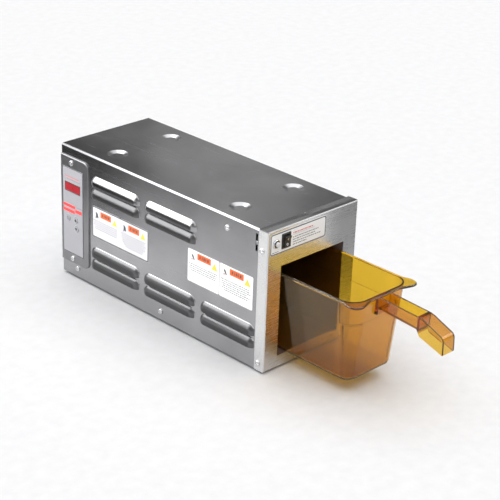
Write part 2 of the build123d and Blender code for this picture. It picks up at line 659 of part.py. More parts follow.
def trough():
    """Inner half of the handle, open upwards."""
    half = HANDLE_W / 2
    end, root = TROUGH_Y
    points = [(root, 134.9), (end, 131.0), (end, 111.4), (-126, 116.4), (root, 108)]
    outer = rounded_prism(points, [0, 0, 0, 10, 0], half)
    outer = fillet(side_edges(outer, half, lambda at: at.Z < 118 and end < at.Y < root), 5.0)
    half -= PAN_WALL
    wall = end + PAN_WALL
    points = [(-124.6, 145), (wall, 145), (wall, 114.2), (-126, 119.0), (-124.6, 119.0)]
    inner = rounded_prism(points, [0, 0, 0, 0, 0], half)
    inner = fillet(side_edges(inner, half, lambda at: at.Z < 119.5), 2.8)
    piece = outer - inner
    tops = piece.edges().filter_by(lambda edge: edge.length > 50 and edge.center().Z > 132)
    return fillet(tops, 0.9)


def channel():
    """Outer half of the handle, closed on top and open below, turned down at its end."""
    half = HANDLE_W / 2
    end, root = CHANNEL_Y
    points = [(root, 131.3), (-196.5, 130.7), (end + 1, 116.6), (end, 92.4), (-193, 104.8), (root, 112.2)]
    outer = rounded_prism(points, [0, 16, 8, 2, 4, 0], half)
    outer = fillet(side_edges(outer, half, lambda at: at.Z > 116 and at.Y < root - 0.2), 2.2)
    half -= PAN_WALL
    start, stop = root - PAN_WALL, end + PAN_WALL
    points = [(start, 128.7), (-196.2, 128.3), (stop + 0.9, 115.0), (stop, 80), (start, 80)]
    inner = rounded_prism(points, [0, 14, 5.6, 0, 0], half)
    return outer - inner


def root_collar():
    """Thickened root of the handle on the front wall, open inside the trough."""
    half = HANDLE_W / 2 + 1.0
    collar = block((-half, half), (-126, -119), (109, 131.5))
    ends = collar.edges().filter_by(lambda edge: edge.center().Y < -125.9 or edge.center().Z < 109.1)
    collar = fillet(ends, 1.5)
    return collar - block(around(0, HANDLE_W / 2 - PAN_WALL), (-130, -124.6), (119, 140))


def on_mouth(edge):
    """Whether an edge is on the flat top, round the pan's mouth."""
    low, high = edge.bounding_box().min, edge.bounding_box().max
    half = PAN_W / 2 - PAN_WALL + 1
    inside = -half < low.X and high.X < half and 1 - PAN_FRONT < low.Y and high.Y < PAN_L - PAN_FRONT - 1
    return inside and low.Z > PAN_RIM - 0.01


def food_pan():
    """Pan and handle as one moulding."""
    outer = tub(0.0, 0.0, PAN_SHOULDER, PAN_RIM, 5.5)
    inner = tub(PAN_WALL, PAN_FLOOR, PAN_SHOULDER + 1.5, PAN_RIM + 1, 3.0)
    pan = (outer + rim() + trough() + channel() + root_collar()) - inner
    return fillet(pan.edges().filter_by(on_mouth), 0.9)


# ---------------------------------------------------------------- write the sub-parts
os.makedirs("parts", exist_ok=True)

save("outer_wrap", outer_wrap())
save("front_frame", front_frame())
save("base_pan", base_pan())
save("back_panel", back_panel())
save("hook_brackets", *hook_brackets())
save("cross_brace", cross_brace())
save("bulkhead", bulkhead())

save("cavity_liner", cavity_liner())
save("upper_heat_plate", block((-50, 50), PLATE_Y, UPPER_PLATE))
save("lower_heat_plate", block((-50, 50), PLATE_Y, LOWER_PLATE))
save("lower_element", element(ELEMENT_ZS[0]))
save("upper_element", element(ELEMENT_ZS[1]))
save("element_clips", *element_clips())
top_pad, side_pads, rear_pad = insulation()
save("top_insulation", top_pad)
save("side_insulation", *side_pads)
save("rear_insulation", rear_pad)
save("temperature_probe", rod((PROBE_AT[0], CAVITY_L - 12, PROBE_AT[1]), (0, 1, 0), 30, 2.0))
save("high_limit_thermostat", rod((LIMIT_AT[0], CAVITY_L + SHEET, LIMIT_AT[1]), (0, 1, 0), 9, 8.0))

save("control_bezel", control_bezel())
save("control_overlay", control_overlay())
save("display_window", display_window())
save("display_module", display_module())
save("indicator_bars", *indicator_bars())
save("control_board", control_board())
save("board_standoffs", *board_standoffs())
save("tact_switches", *tact_switches())
for name, at in (("power_button", POWER_AT), ("up_button", UP_AT), ("down_button", DOWN_AT)):
    save(name, push_button(at))

core, coil = transformer()
save("transformer_core", core)
save("transformer_coil", coil)
save("solid_state_relay", solid_state_relay())
save("terminal_block", terminal_block())
inlet, blades = power_inlet()
save("power_inlet", inlet)
save("inlet_blades", *blades)

save("switch_housing", switch_housing())
save("switch_terminals", *switch_terminals())
save("rocker_paddle", rocker_paddle())
breaker_body, breaker_nut, reset_button = breaker()
save("breaker_body", breaker_body)
save("breaker_nut", breaker_nut)
save("reset_button", reset_button)
save("wire_harness", wire_harness())

save("face_label", face_label())
save("side_label_front", *side_label(((24.9, 87.0), (88.0, 148.5)), (81.0, 128.5)))
save("side_label_rear", *side_label(((228.5, 288.0), (288.6, 348.5)), (77.5, 124.5)))

save("bumper_feet", *bumper_feet())
foot_spots = [(x, y, -0.5) for x in (-FOOT_X, FOOT_X) for y in FOOT_YS]
save("foot_screws", *[screw(spot, (0, 0, -1)) for spot in foot_spots])
half = CAB_W / 2
save("flange_screws", *[screw((s * half, y, z), (s, 0, 0)) for s in (-1, 1) for y, z in FLANGE_SCREWS])
side_spots = LOW_SIDE_SCREWS + (BRACE_SCREW,)
save("side_screws", *[screw((s * WRAP_X, y, z), (s, 0, 0)) for s in (-1, 1) for y, z in side_spots])
bezel_x = -WRAP_X - BEZEL_OUT
save("bezel_screws", *[screw((bezel_x, y, z), (-1, 0, 0)) for y, z in BEZEL_SCREWS])
save("back_screws", *[screw((x, BACK_Y, z), (0, 1, 0)) for x, z in BACK_SCREWS])

save("food_pan", food_pan())
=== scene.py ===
import json
import math

import bmesh
import bpy
from mathutils import Matrix, Vector


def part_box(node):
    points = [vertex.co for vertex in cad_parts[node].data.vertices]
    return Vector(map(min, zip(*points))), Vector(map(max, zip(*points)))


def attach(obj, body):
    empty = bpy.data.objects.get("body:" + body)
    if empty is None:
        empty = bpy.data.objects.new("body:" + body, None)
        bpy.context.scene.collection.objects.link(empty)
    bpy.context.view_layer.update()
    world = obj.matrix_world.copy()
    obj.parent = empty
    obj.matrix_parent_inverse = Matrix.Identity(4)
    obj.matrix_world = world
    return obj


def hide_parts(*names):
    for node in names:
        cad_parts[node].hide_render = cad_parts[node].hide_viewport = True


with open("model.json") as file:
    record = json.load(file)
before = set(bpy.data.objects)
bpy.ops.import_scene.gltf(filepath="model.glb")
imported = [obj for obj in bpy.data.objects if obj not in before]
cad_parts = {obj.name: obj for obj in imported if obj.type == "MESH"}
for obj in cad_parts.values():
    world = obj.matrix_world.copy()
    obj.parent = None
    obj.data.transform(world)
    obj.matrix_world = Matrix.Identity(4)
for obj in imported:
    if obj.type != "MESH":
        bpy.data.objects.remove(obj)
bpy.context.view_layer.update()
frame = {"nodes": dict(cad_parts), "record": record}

NODES = frame["nodes"]
NODE_SLOTS = {part["node"]: part["material_slot"] for part in frame["record"]["subparts"]}
MM = 0.001
SHEET = 1 * MM  # the face frame's flange lies this far outside the wrap's side
HOOD_OUT = 5.5 * MM  # louvre hoods, out of the wrap's side

# ------------------------------------------------------------------ places, read from the frame
face_low, face_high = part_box("front_frame")
FACE_Y = face_low.y  # slot face
BACK_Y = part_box("outer_wrap")[1].y
LEFT_X = face_low.x  # control side
LOW_Z = face_low.z
TOP_Z = face_high.z
CAB_L = BACK_Y - FACE_Y
FOOT = Vector((0, FACE_Y + CAB_L / 2, LOW_Z))  # middle of the cabinet's foot

# ------------------------------------------------------------------ camera, floor and lights
FOCAL_MM = 113.8
SENSOR_MM = 36
AZIMUTH = math.radians(-45.46)
ELEVATION = math.radians(24.53)
ROLL = math.radians(2.15)
DISTANCE = 2.250
AIM_RIGHT = 0.0693  # how far the view's axis passes to the right of the foot, and above it
AIM_UP = 0.0720

FLOOR_SIZE = 14.0
SKY = ((0.0, 0.75), (0.10, 0.42), (0.35, 0.12), (0.58, 0.20), (0.82, 2.15))  # tones by height, horizon first
BOUNCES = 24  # enough to leave the pan's thick edges
LAMP_AIM = Vector((0, 0, 0.1))  # what the lamps point at, from the foot
LAMPS = (  # name, place from the foot, size, watts
    ("softbox_left", (-0.56, 0.48, 0.46), (0.80, 0.62), 7.5),
    ("softbox_back", (-0.10, 0.54, 0.86), (0.65, 0.50), 4.0),
    ("softbox_far", (0.65, 0.62, 0.62), (0.30, 0.26), 0.08),
    ("softbox_right", (1.25, -1.05, 1.35), (0.8, 1.2), 10),
    ("softbox_front", (-1.4, -1.7, 1.7), (1.6, 1.2), 10),
)
CARDS = (  # name, lower corner, run along the floor, height, tones along the card, tones up it
    ("card_left", (LEFT_X - 0.16, FACE_Y + 0.17, 0), (0, CAB_L + 0.13, 0), 0.15,
     ((0.0, 1.0), (0.45, 0.90), (0.66, 0.18), (1.0, 0.10)),
     ((0.0, 1.0), (0.45, 0.78), (0.78, 0.28), (1.0, 0.12))),
    ("card_right", (0.12, FACE_Y - 0.10, 0), (0.38, 0, 0), 0.22,
     ((0.0, 0.8), (0.08, 0.30), (1.0, 0.26)),
     ((0.0, 1.0), (1.0, 0.9))),
)


def place_camera():
    """The photograph's view of the cabinet: its axes, and its place from the cabinet's foot."""
    flat = math.cos(ELEVATION)
    back = Vector((math.sin(AZIMUTH) * flat, -math.cos(AZIMUTH) * flat, math.sin(ELEVATION)))
    level = Vector((math.cos(AZIMUTH), math.sin(AZIMUTH), 0))
    upright = back.cross(level)
    right = math.cos(ROLL) * level + math.sin(ROLL) * upright
    up = -math.sin(ROLL) * level + math.cos(ROLL) * upright
    data = bpy.data.cameras.new("camera")
    data.lens = FOCAL_MM
    data.sensor_width = SENSOR_MM
    camera = bpy.data.objects.new("camera", data)
    turn = Matrix((right, up, back)).transposed().to_4x4()
    place = FOOT + AIM_RIGHT * right + AIM_UP * up + DISTANCE * back
    camera.matrix_world = Matrix.Translation(place) @ turn
    bpy.context.scene.collection.objects.link(camera)
    bpy.context.scene.camera = camera


def area_light(name, place, target, size, power, unlit):
    """A soft rectangular lamp turned towards a point. It isn't seen itself, and leaves some objects alone."""
    data = bpy.data.lights.new(name, "AREA")
    data.shape = "RECTANGLE"
    data.size, data.size_y = size
    data.energy = power
    lamp = bpy.data.objects.new(name, data)
    lamp.location = place
    lamp.rotation_euler = (Vector(target) - Vector(place)).to_track_quat("-Z", "Y").to_euler()
    lamp.visible_camera = False
    bpy.context.scene.collection.objects.link(lamp)
    group = bpy.data.collections.new(name + "_unlit")
    for obj in unlit:
        group.objects.link(obj)
    lamp.light_linking.receiver_collection = group
    for entry in group.collection_objects:
        entry.light_linking.link_state = "EXCLUDE"


def card(name, corner, across, height, length_ramp, height_ramp):
    """An upright photographer's card that shows only in reflections, toned along it and up it."""
    up = Vector((0, 0, height))
    corner, across = Vector(corner), Vector(across)
    mesh = bpy.data.meshes.new(name)
    mesh.from_pydata([corner, corner + across, corner + across + up, corner + up], [], [(0, 1, 2, 3)])
    obj = bpy.data.objects.new(name, mesh)
    bpy.context.scene.collection.objects.link(obj)
    mat, t = material(name)
    along = 0 if across.x else 1
    start, end = sorted((corner[along], (corner + across)[along]))
    length_tone = t.ramp(t.rise(along, start, end), length_ramp)
    height_tone = t.ramp(t.rise(2, 0, height), height_ramp)
    t.set("Base Color", (0.0, 0.0, 0.0))
    t.set("Specular IOR Level", 0.0)
    t.set("Emission Color", t.mix(1.0, length_tone, height_tone, "MULTIPLY"))
    t.set("Emission Strength", 1.0)
    mesh.materials.append(mat)
    obj.visible_camera = False
    obj.visible_diffuse = False
    obj.visible_transmission = False
    obj.visible_shadow = False


def make_studio():
    """Pale floor, softly graded surroundings, soft lamps and two grey cards."""
    bpy.ops.mesh.primitive_plane_add(size=FLOOR_SIZE, location=(0, 0, 0))
    floor = bpy.context.object
    floor.name = "floor"
    mat, t = material("floor_paper")
    t.set("Base Color", t.ramp(t.noise(60, 3), ((0.3, (0.80, 0.80, 0.81)), (0.7, (0.84, 0.84, 0.85)))))
    t.set("Roughness", 0.9)
    floor.data.materials.append(mat)

    world = bpy.data.worlds.new("studio")
    bpy.context.scene.world = world
    world.use_nodes = True
    nt = world.node_tree
    direction = nt.nodes.new("ShaderNodeTexCoord").outputs["Generated"]
    split = nt.nodes.new("ShaderNodeSeparateXYZ")
    nt.links.new(direction, split.inputs[0])
    sky = nt.nodes.new("ShaderNodeValToRGB")
    set_ramp(sky, SKY)
    nt.links.new(split.outputs["Z"], sky.inputs[0])
    nt.links.new(sky.outputs[0], nt.nodes["Background"].inputs["Color"])
    nt.nodes["Background"].inputs["Strength"].default_value = 1.0

    for name, place, size, power in LAMPS:
        area_light(name, FOOT + Vector(place), FOOT + LAMP_AIM, size, power, [floor])
    for spec in CARDS:
        card(*spec)
    scene = bpy.context.scene
    scene.view_settings.view_transform = "Standard"
    scene.cycles.max_bounces = BOUNCES
    scene.cycles.transmission_bounces = BOUNCES


# ------------------------------------------------------------------ material helpers
def set_ramp(node, stops):
    """Give a colour ramp its stops, each (place, colour)."""
    ramp = node.color_ramp
    while len(ramp.elements) > len(stops):
        ramp.elements.remove(ramp.elements[-1])
    while len(ramp.elements) < len(stops):
        ramp.elements.new(1.0)
    for element, (place, colour) in zip(ramp.elements, stops):
        element.position = place
        element.color = (*colour, 1) if hasattr(colour, "__len__") else (colour, colour, colour, 1)


class Tree:
    """A material's nodes, with short calls for the kinds used here. Patterns are in object metres."""

    def __init__(self, mat):
        self.nt = mat.node_tree
        self.bsdf = self.nt.nodes["Principled BSDF"]
        self.place = self.nt.nodes.new("ShaderNodeTexCoord").outputs["Object"]

    def link(self, a, b):
        self.nt.links.new(a, b)

    def stretched(self, scale):
        """Object coordinates scaled unevenly, as for a grain."""
        node = self.nt.nodes.new("ShaderNodeMapping")
        node.inputs["Scale"].default_value = scale
        self.link(self.place, node.inputs[0])
        return node.outputs[0]

    def noise(self, scale, detail=2, vector=None, distortion=0.0):
        node = self.nt.nodes.new("ShaderNodeTexNoise")
        node.inputs["Scale"].default_value = scale
        node.inputs["Detail"].default_value = detail
        node.inputs["Distortion"].default_value = distortion
        self.link(vector or self.place, node.inputs["Vector"])
        return node.outputs[0]

    def near(self, point, reach):
        """Full at a point of the object, fading to 0 at a distance that differs along each axis."""
        shift = self.nt.nodes.new("ShaderNodeVectorMath")
        shift.operation = "SUBTRACT"
        self.link(self.place, shift.inputs[0])
        shift.inputs[1].default_value = point
        scale = self.nt.nodes.new("ShaderNodeVectorMath")
        scale.operation = "DIVIDE"
        self.link(shift.outputs[0], scale.inputs[0])
        scale.inputs[1].default_value = reach
        length = self.nt.nodes.new("ShaderNodeVectorMath")
        length.operation = "LENGTH"
        self.link(scale.outputs[0], length.inputs[0])
        return self.ramp(length.outputs["Value"], ((0.15, 0.85), (0.55, 0.35), (1.0, 0.0)))

    def rise(self, axis, low, high):
        """0 below one place on an axis and 1 above the other."""
        split = self.nt.nodes.new("ShaderNodeSeparateXYZ")
        self.link(self.place, split.inputs[0])
        span = self.nt.nodes.new("ShaderNodeMapRange")
        span.inputs["From Min"].default_value = low
        span.inputs["From Max"].default_value = high
        self.link(split.outputs[axis], span.inputs["Value"])
        return span.outputs["Result"]

    def ramp(self, value, stops):
        node = self.nt.nodes.new("ShaderNodeValToRGB")
        set_ramp(node, stops)
        self.link(value, node.inputs[0])
        return node.outputs[0]

    def maths(self, kind, a, b):
        node = self.nt.nodes.new("ShaderNodeMath")
        node.operation = kind
        for socket, value in zip(node.inputs, (a, b)):
            if isinstance(value, (int, float)):
                socket.default_value = value
            else:
                self.link(value, socket)
        return node.outputs[0]

    def mix(self, share, a, b, kind="MIX"):
        node = self.nt.nodes.new("ShaderNodeMix")
        node.data_type = "RGBA"
        node.blend_type = kind
        for socket, value in ((node.inputs[0], share), (node.inputs[6], a), (node.inputs[7], b)):
            if isinstance(value, (int, float)):
                socket.default_value = value
            elif isinstance(value, tuple):
                socket.default_value = (*value, 1)
            else:
                self.link(value, socket)
        return node.outputs[2]

    def bump(self, height, strength, distance):
        node = self.nt.nodes.new("ShaderNodeBump")
        node.inputs["Strength"].default_value = strength
        node.inputs["Distance"].default_value = distance
        self.link(height, node.inputs["Height"])
        self.link(node.outputs[0], self.bsdf.inputs["Normal"])

    def set(self, name, value):
        """A number or colour goes on the shader's own socket, a pattern is linked to it."""
        socket = self.bsdf.inputs[name]
        if isinstance(value, tuple) and len(value) == 3:
            value = (*value, 1)
        if isinstance(value, (int, float, tuple)):
            socket.default_value = value
        else:
            self.link(value, socket)


def material(name):
    mat = bpy.data.materials.new(name)
    mat.use_nodes = True
    return mat, Tree(mat)


def paint(mat, *nodes):
    """Give CAD nodes a material."""
    for node in nodes:
        mesh = NODES[node].data
        mesh.materials.clear()
        mesh.materials.append(mat)


# ------------------------------------------------------------------ materials
GRAIN_ALONG = (2400, 14, 2400)  # noise scales that draw a fine brushed grain along y, along x and along z
GRAIN_ACROSS = (14, 2400, 2400)
GRAIN_UPRIGHT = (2400, 2400, 14)
# how far the lower louvre hoods are darkened, as painted shade
HOOD_SHADE_SHARE = 0.80


def brushed(name, dark, light, rough, grain, shade=None, painted_shade_bands=(), shaded_rough_hoods=None):
    """Brushed stainless sheet: fine grain along one axis, cloudy tone, smudges and a few fine scratches.

    The first keyword is a corner darkened by painted shade, and the distance over which that fades.
    The second holds bands of painted shade: an axis, two places on it and the tones between them.
    The third is two ranges, each an axis and two places, and what lies in both is darker, as painted shade,
    and rougher."""
    mat, t = material(name)
    streaks = t.noise(1.0, 3, t.stretched(grain))
    cloud = t.noise(7, 3, distortion=0.4)
    smudge = t.noise(30, 4, distortion=0.8)
    coarse = t.stretched(tuple(g / 5 for g in grain))
    scratch = t.ramp(t.noise(1.0, 1, coarse), ((0.70, 0.0), (0.76, 1.0)))
    tone = t.maths("ADD", t.maths("MULTIPLY", streaks, 0.16), t.maths("MULTIPLY", cloud, 0.84))
    colour = t.ramp(tone, ((0.36, dark), (0.64, light)))
    # painted shade: the colour darkens towards a corner
    if shade:
        colour = t.mix(t.near(*shade), colour, tuple(0.35 * c for c in dark))
    # painted shade: each band multiplies the colour by its tones
    for axis, low, high, tones in painted_shade_bands:
        colour = t.mix(1.0, colour, t.ramp(t.rise(axis, low, high), tones), "MULTIPLY")
    # painted shade on the lower louvre hoods; the same mask also raises the roughness
    hood_shade_and_roughness = t.maths("MULTIPLY", *[t.rise(*span) for span in shaded_rough_hoods]) if shaded_rough_hoods else 0.0
    if shaded_rough_hoods:
        colour = t.mix(t.maths("MULTIPLY", hood_shade_and_roughness, HOOD_SHADE_SHARE), colour, tuple(0.2 * c for c in dark))
    t.set("Base Color", colour)
    t.set("Metallic", 1.0)
    wear = t.maths("ADD", t.maths("MULTIPLY", streaks, 0.10), t.maths("MULTIPLY", smudge, 0.08))
    wear = t.maths("ADD", wear, t.maths("MULTIPLY", scratch, 0.05))
    wear = t.maths("ADD", wear, t.maths("MULTIPLY", hood_shade_and_roughness, 0.10))
    t.set("Roughness", t.maths("ADD", wear, rough - 0.11))
    t.bump(streaks, 0.2, 0.00001)
    return mat


def plain(name, colour, rough, metal=0.0, spread=0.12, scale=400, depth=0.00003):
    """A moulded or coated surface with a fine grain and slightly uneven colour."""
    mat, t = material(name)
    grain = t.noise(scale, 3)
    cloud = t.noise(scale / 20, 3)
    low = tuple(c * (1 - spread) for c in colour)
    high = tuple(min(1.0, c * (1 + spread)) for c in colour)
    t.set("Base Color", t.ramp(cloud, ((0.3, low), (0.7, high))))
    t.set("Metallic", metal)
    t.set("Roughness", t.maths("ADD", t.maths("MULTIPLY", grain, 0.14), rough - 0.07))
    t.bump(grain, 0.3, depth)
    return mat


def amber(name):
    """Clear amber moulding with a trace of haze, which turns from gold to red-brown with depth."""
    mat, t = material(name)
    t.set("Base Color", (0.90, 0.68, 0.18))
    t.set("Transmission Weight", 0.98)
    t.set("IOR", 1.52)
    flow = t.noise(30, 3, distortion=0.4)
    t.set("Roughness", t.ramp(flow, ((0.35, 0.02), (0.7, 0.07))))
    t.bump(t.noise(22, 2), 0.10, 0.0006)
    absorb = t.nt.nodes.new("ShaderNodeVolumeAbsorption")
    absorb.inputs["Color"].default_value = (0.94, 0.84, 0.22, 1)
    absorb.inputs["Density"].default_value = 700
    t.link(absorb.outputs[0], t.nt.nodes["Material Output"].inputs["Volume"])
    return mat


def paint_nodes():
    """A finish for every CAD node but the insulation, which quilted pads replace."""
    # the wrap's top back corner on the control side, darkened as painted shade
    corner = ((LEFT_X, BACK_Y, TOP_Z), (0.09, 0.30, 0.13))
    side_x = LEFT_X + SHEET  # the wrap's control side
    # the outermost bulge of each louvre hood, darkened as painted shade
    painted_hood_belly_shade = (0, side_x - HOOD_OUT, side_x - HOOD_OUT + 0.9 * MM, ((0.3, 0.30), (1.0, 1.0)))
    # the louvre hoods below the top row, darkened as painted shade and made rougher
    low_hoods = ((0, side_x - 0.2 * MM, side_x - 1.0 * MM), (2, LOW_Z + 157 * MM, LOW_Z + 152 * MM))
    paint(brushed("wrap_steel", (0.37, 0.37, 0.38), (0.47, 0.47, 0.48), 0.26, GRAIN_ALONG,
                  shade=corner, painted_shade_bands=[painted_hood_belly_shade], shaded_rough_hoods=low_hoods), "outer_wrap")
    # the frame's top face and top edge, darkened as painted shade
    top = (2, TOP_Z - 1.6 * MM, TOP_Z - 0.8 * MM, ((0.0, 1.0), (1.0, 0.45)))
    face = brushed("face_steel", (0.66, 0.66, 0.66), (0.76, 0.76, 0.76), 0.30, GRAIN_ACROSS, painted_shade_bands=[top])
    shader = face.node_tree.nodes["Principled BSDF"]
    shader.inputs["Anisotropic"].default_value = 0.8  # the grain runs across, so reflections smear upright
    shader.inputs["Anisotropic Rotation"].default_value = 0.25
    paint(face, "front_frame")
    bezel = brushed("bezel_steel", (0.26, 0.26, 0.27), (0.37, 0.37, 0.38), 0.32, GRAIN_UPRIGHT)
    paint(bezel, "control_bezel")
    sheet = brushed("mill_sheet", (0.42, 0.43, 0.44), (0.56, 0.57, 0.58), 0.36, GRAIN_ACROSS)
    paint(sheet, "base_pan", "back_panel", "hook_brackets", "cross_brace", "bulkhead")
    paint(plain("cavity_coating", (0.20, 0.15, 0.15), 0.5, spread=0.35, scale=300), "cavity_liner")
    bright = brushed("plate_aluminium", (0.62, 0.62, 0.63), (0.78, 0.78, 0.79), 0.34, GRAIN_ACROSS)
    paint(bright, "upper_heat_plate", "lower_heat_plate", "element_clips")
    paint(plain("element_sheath", (0.16, 0.15, 0.14), 0.45, metal=1.0),
          "upper_element", "lower_element", "temperature_probe")
    film = {"spread": 0.03, "scale": 700, "depth": 0.00001}
    paint(plain("overlay_film", (0.31, 0.31, 0.33), 0.42, **film), "control_overlay")
    paint(plain("button_film", (0.29, 0.29, 0.305), 0.40, **film), "power_button", "up_button", "down_button")
    paint(plain("display_lens", (0.32, 0.008, 0.016), 0.30, spread=0.1), "display_window")
    bar, t = material("bar_light_pipe")
    t.set("Base Color", (0.85, 0.05, 0.05))
    t.set("Roughness", 0.3)
    t.set("Emission Color", t.ramp(t.noise(500, 2), ((0.3, (0.80, 0.035, 0.035)), (0.7, (0.95, 0.07, 0.06)))))
    t.set("Emission Strength", 0.35)
    paint(bar, "indicator_bars")
    black = plain("black_moulding", (0.018, 0.018, 0.019), 0.38)
    paint(black, "display_module", "solid_state_relay", "power_inlet", "switch_housing", "breaker_body",
          "tact_switches", "high_limit_thermostat", "rocker_paddle")
    paint(plain("reset_cap", (0.62, 0.62, 0.62), 0.30), "reset_button")
    paint(plain("solder_mask", (0.012, 0.12, 0.05), 0.35), "control_board")
    paint(plain("nylon", (0.72, 0.71, 0.66), 0.45), "board_standoffs", "terminal_block")
    paint(plain("laminations", (0.07, 0.07, 0.075), 0.5, metal=0.6, scale=1200), "transformer_core")
    paint(plain("winding_tape", (0.45, 0.30, 0.06), 0.4), "transformer_coil")
    paint(plain("brass", (0.70, 0.52, 0.20), 0.28, metal=1.0), "inlet_blades", "switch_terminals")
    paint(plain("plated_steel", (0.72, 0.72, 0.73), 0.2, metal=1.0), "breaker_nut", "flange_screws",
          "side_screws", "bezel_screws", "back_screws", "foot_screws")
    paint(plain("sleeving", (0.05, 0.045, 0.04), 0.7, scale=1500, depth=0.0002), "wire_harness")
    paper = {"spread": 0.02, "depth": 0.00001}
    paint(plain("label_white", (0.88, 0.88, 0.88), 0.35, **paper), "face_label", "side_label_front")
    paint(plain("label_grey", (0.70, 0.70, 0.73), 0.35, **paper), "side_label_rear")
    paint(plain("foot_rubber", (0.02, 0.02, 0.02), 0.75), "bumper_feet")
    paint(amber("amber_moulding"), "food_pan")


# ------------------------------------------------------------------ quilted insulation
PAD_STEP = 4 * MM  # mesh spacing
QUILT = 40 * MM  # between rows of stitching
SIDE_PAD = 12 * MM  # thickness of the two pads beside the cavity
SEAM_ROUND = 7 * MM  # how far in from the seam a pad is round
HOLE_GAP = 2 * MM  # round what passes through a pad


def puffed(along, across, spans):
    """How full a pad is at a point, from 0 in the seam round its edge to 1 between its rows of stitching."""
    edge = min(min(at, span - at) for at, span in zip((along, across), spans))
    rounded_edge = math.sqrt(max(0.0, 1 - (1 - min(edge / SEAM_ROUND, 1)) ** 2))
    rows = [abs(math.sin(math.pi * at * round(span / QUILT) / span))
            for at, span in zip((along, across), spans)]
    return rounded_edge * (0.62 + 0.38 * min(rows) ** 0.45)


def quilt(mesh, low, high, thin, holes=()):
    """One stitched pad in a box, thin along one axis, with round holes given by centre and radius."""
    axes = [axis for axis in range(3) if axis != thin]
    spans = [high[axis] - low[axis] for axis in axes]
    counts = [round(span / PAD_STEP) for span in spans]
    centre, half = (low[thin] + high[thin]) / 2, (high[thin] - low[thin]) / 2

    def place(i, j):
        return [low[axis] + span * k / count for axis, span, k, count in zip(axes, spans, (i, j), counts)]

    def pierced(i, j):
        if not (0 <= i < counts[0] and 0 <= j < counts[1]):
            return False
        a, b = place(i + 0.5, j + 0.5)
        return any(math.hypot(a - ca, b - cb) < radius for (ca, cb), radius in holes)

    verts = {}
    for i in range(counts[0] + 1):
        for j in range(counts[1] + 1):
            at = place(i, j)
            beside = [pierced(i - di, j - dj) for di in (0, 1) for dj in (0, 1)]
            if all(beside):
                continue
            if any(beside):
                (ca, cb), radius = min(holes, key=lambda hole: math.dist(at, hole[0]))
                reach = math.hypot(at[0] - ca, at[1] - cb)
                at = [ca + (at[0] - ca) * radius / reach, cb + (at[1] - cb) * radius / reach]
            full = half * puffed(at[0] - low[axes[0]], at[1] - low[axes[1]], spans)
            ripple = 0.02 * half * math.sin(700 * at[0]) * math.sin(610 * at[1] + 1)
            rim = i in (0, counts[0]) or j in (0, counts[1])
            for side in (-1, 1):
                point = [0.0, 0.0, 0.0]
                point[axes[0]], point[axes[1]] = at
                point[thin] = centre + side * (full - abs(ripple))
                verts[i, j, side] = verts[i, j, -1] if rim and side > 0 else mesh.verts.new(point)
    for i in range(counts[0]):
        for j in range(counts[1]):
            if pierced(i, j):
                continue
            loop = [(i, j), (i + 1, j), (i + 1, j + 1), (i, j + 1)]
            mesh.faces.new([verts[a, b, 1] for a, b in loop])
            mesh.faces.new([verts[a, b, -1] for a, b in reversed(loop)])
            beside = [(i, j - 1), (i + 1, j), (i, j + 1), (i - 1, j)]
            for start, end, other in zip(loop, loop[1:] + loop[:1], beside):
                if pierced(*other):
                    mesh.faces.new([verts[*end, 1], verts[*start, 1], verts[*start, -1], verts[*end, -1]])


def insulation_pad(node, boxes, thin, felt, holes=()):
    """A quilted piece in place of one node, made of one pad for each box."""
    mesh = bmesh.new()
    for low, high in boxes:
        quilt(mesh, low, high, thin, holes)
    bmesh.ops.recalc_face_normals(mesh, faces=mesh.faces)
    for face in mesh.faces:
        face.smooth = True
    data = bpy.data.meshes.new(node + "_pad")
    mesh.to_mesh(data)
    mesh.free()
    data.materials.append(felt)
    piece = bpy.data.objects.new(node + "_pad", data)
    bpy.context.scene.collection.objects.link(piece)
    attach(piece, "cabinet")
    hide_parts(node)


def insulation_pads():
    """Ceramic-fibre blankets over, beside and behind the cavity."""
    felt = plain("fibre_felt", (0.78, 0.76, 0.70), 0.92, spread=0.10, scale=900, depth=0.0003)
    insulation_pad("top_insulation", [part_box("top_insulation")], 2, felt)
    low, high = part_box("side_insulation")
    near = (low, Vector((low.x + SIDE_PAD, high.y, high.z)))
    far = (Vector((high.x - SIDE_PAD, low.y, low.z)), high)
    insulation_pad("side_insulation", [near, far], 0, felt)
    holes = []
    for node in ("high_limit_thermostat", "temperature_probe"):
        low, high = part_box(node)
        holes.append((((low.x + high.x) / 2, (low.z + high.z) / 2), (high.x - low.x) / 2 + HOLE_GAP))
    insulation_pad("rear_insulation", [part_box("rear_insulation")], 1, felt, holes)


# ------------------------------------------------------------------ printed marks
def rectangle(u0, v0, u1, v1):
    """Outline of a rectangle."""
    return [(u0, v0), (u1, v0), (u1, v1), (u0, v1)]


def rounded(u0, v0, u1, v1, radius, steps=6):
    """Outline of a rectangle with round corners."""
    points = []
    left, right, low, high = u0 + radius, u1 - radius, v0 + radius, v1 - radius
    for quarter, (cu, cv) in enumerate(((right, high), (left, high), (left, low), (right, low))):
        for k in range(steps + 1):
            angle = (quarter + k / steps) * math.pi / 2
            points.append((cu + radius * math.cos(angle), cv + radius * math.sin(angle)))
    return points


def oval(cu, cv, ru, rv, start=0.0, sweep=2 * math.pi, steps=28):
    """Outline of an ellipse, or the points of an arc of one with both its ends."""
    count = steps if sweep == 2 * math.pi else steps + 1
    angles = [start + sweep * k / steps for k in range(count)]
    return [(cu + ru * math.cos(angle), cv + rv * math.sin(angle)) for angle in angles]


PRINT_T = 0.05  # thickness of a printed plate, mm
WORDS = (2.0, 3.4, 1.4, 4.2, 2.7, 1.8, 3.0)  # lengths of the blocks that stand for words, mm


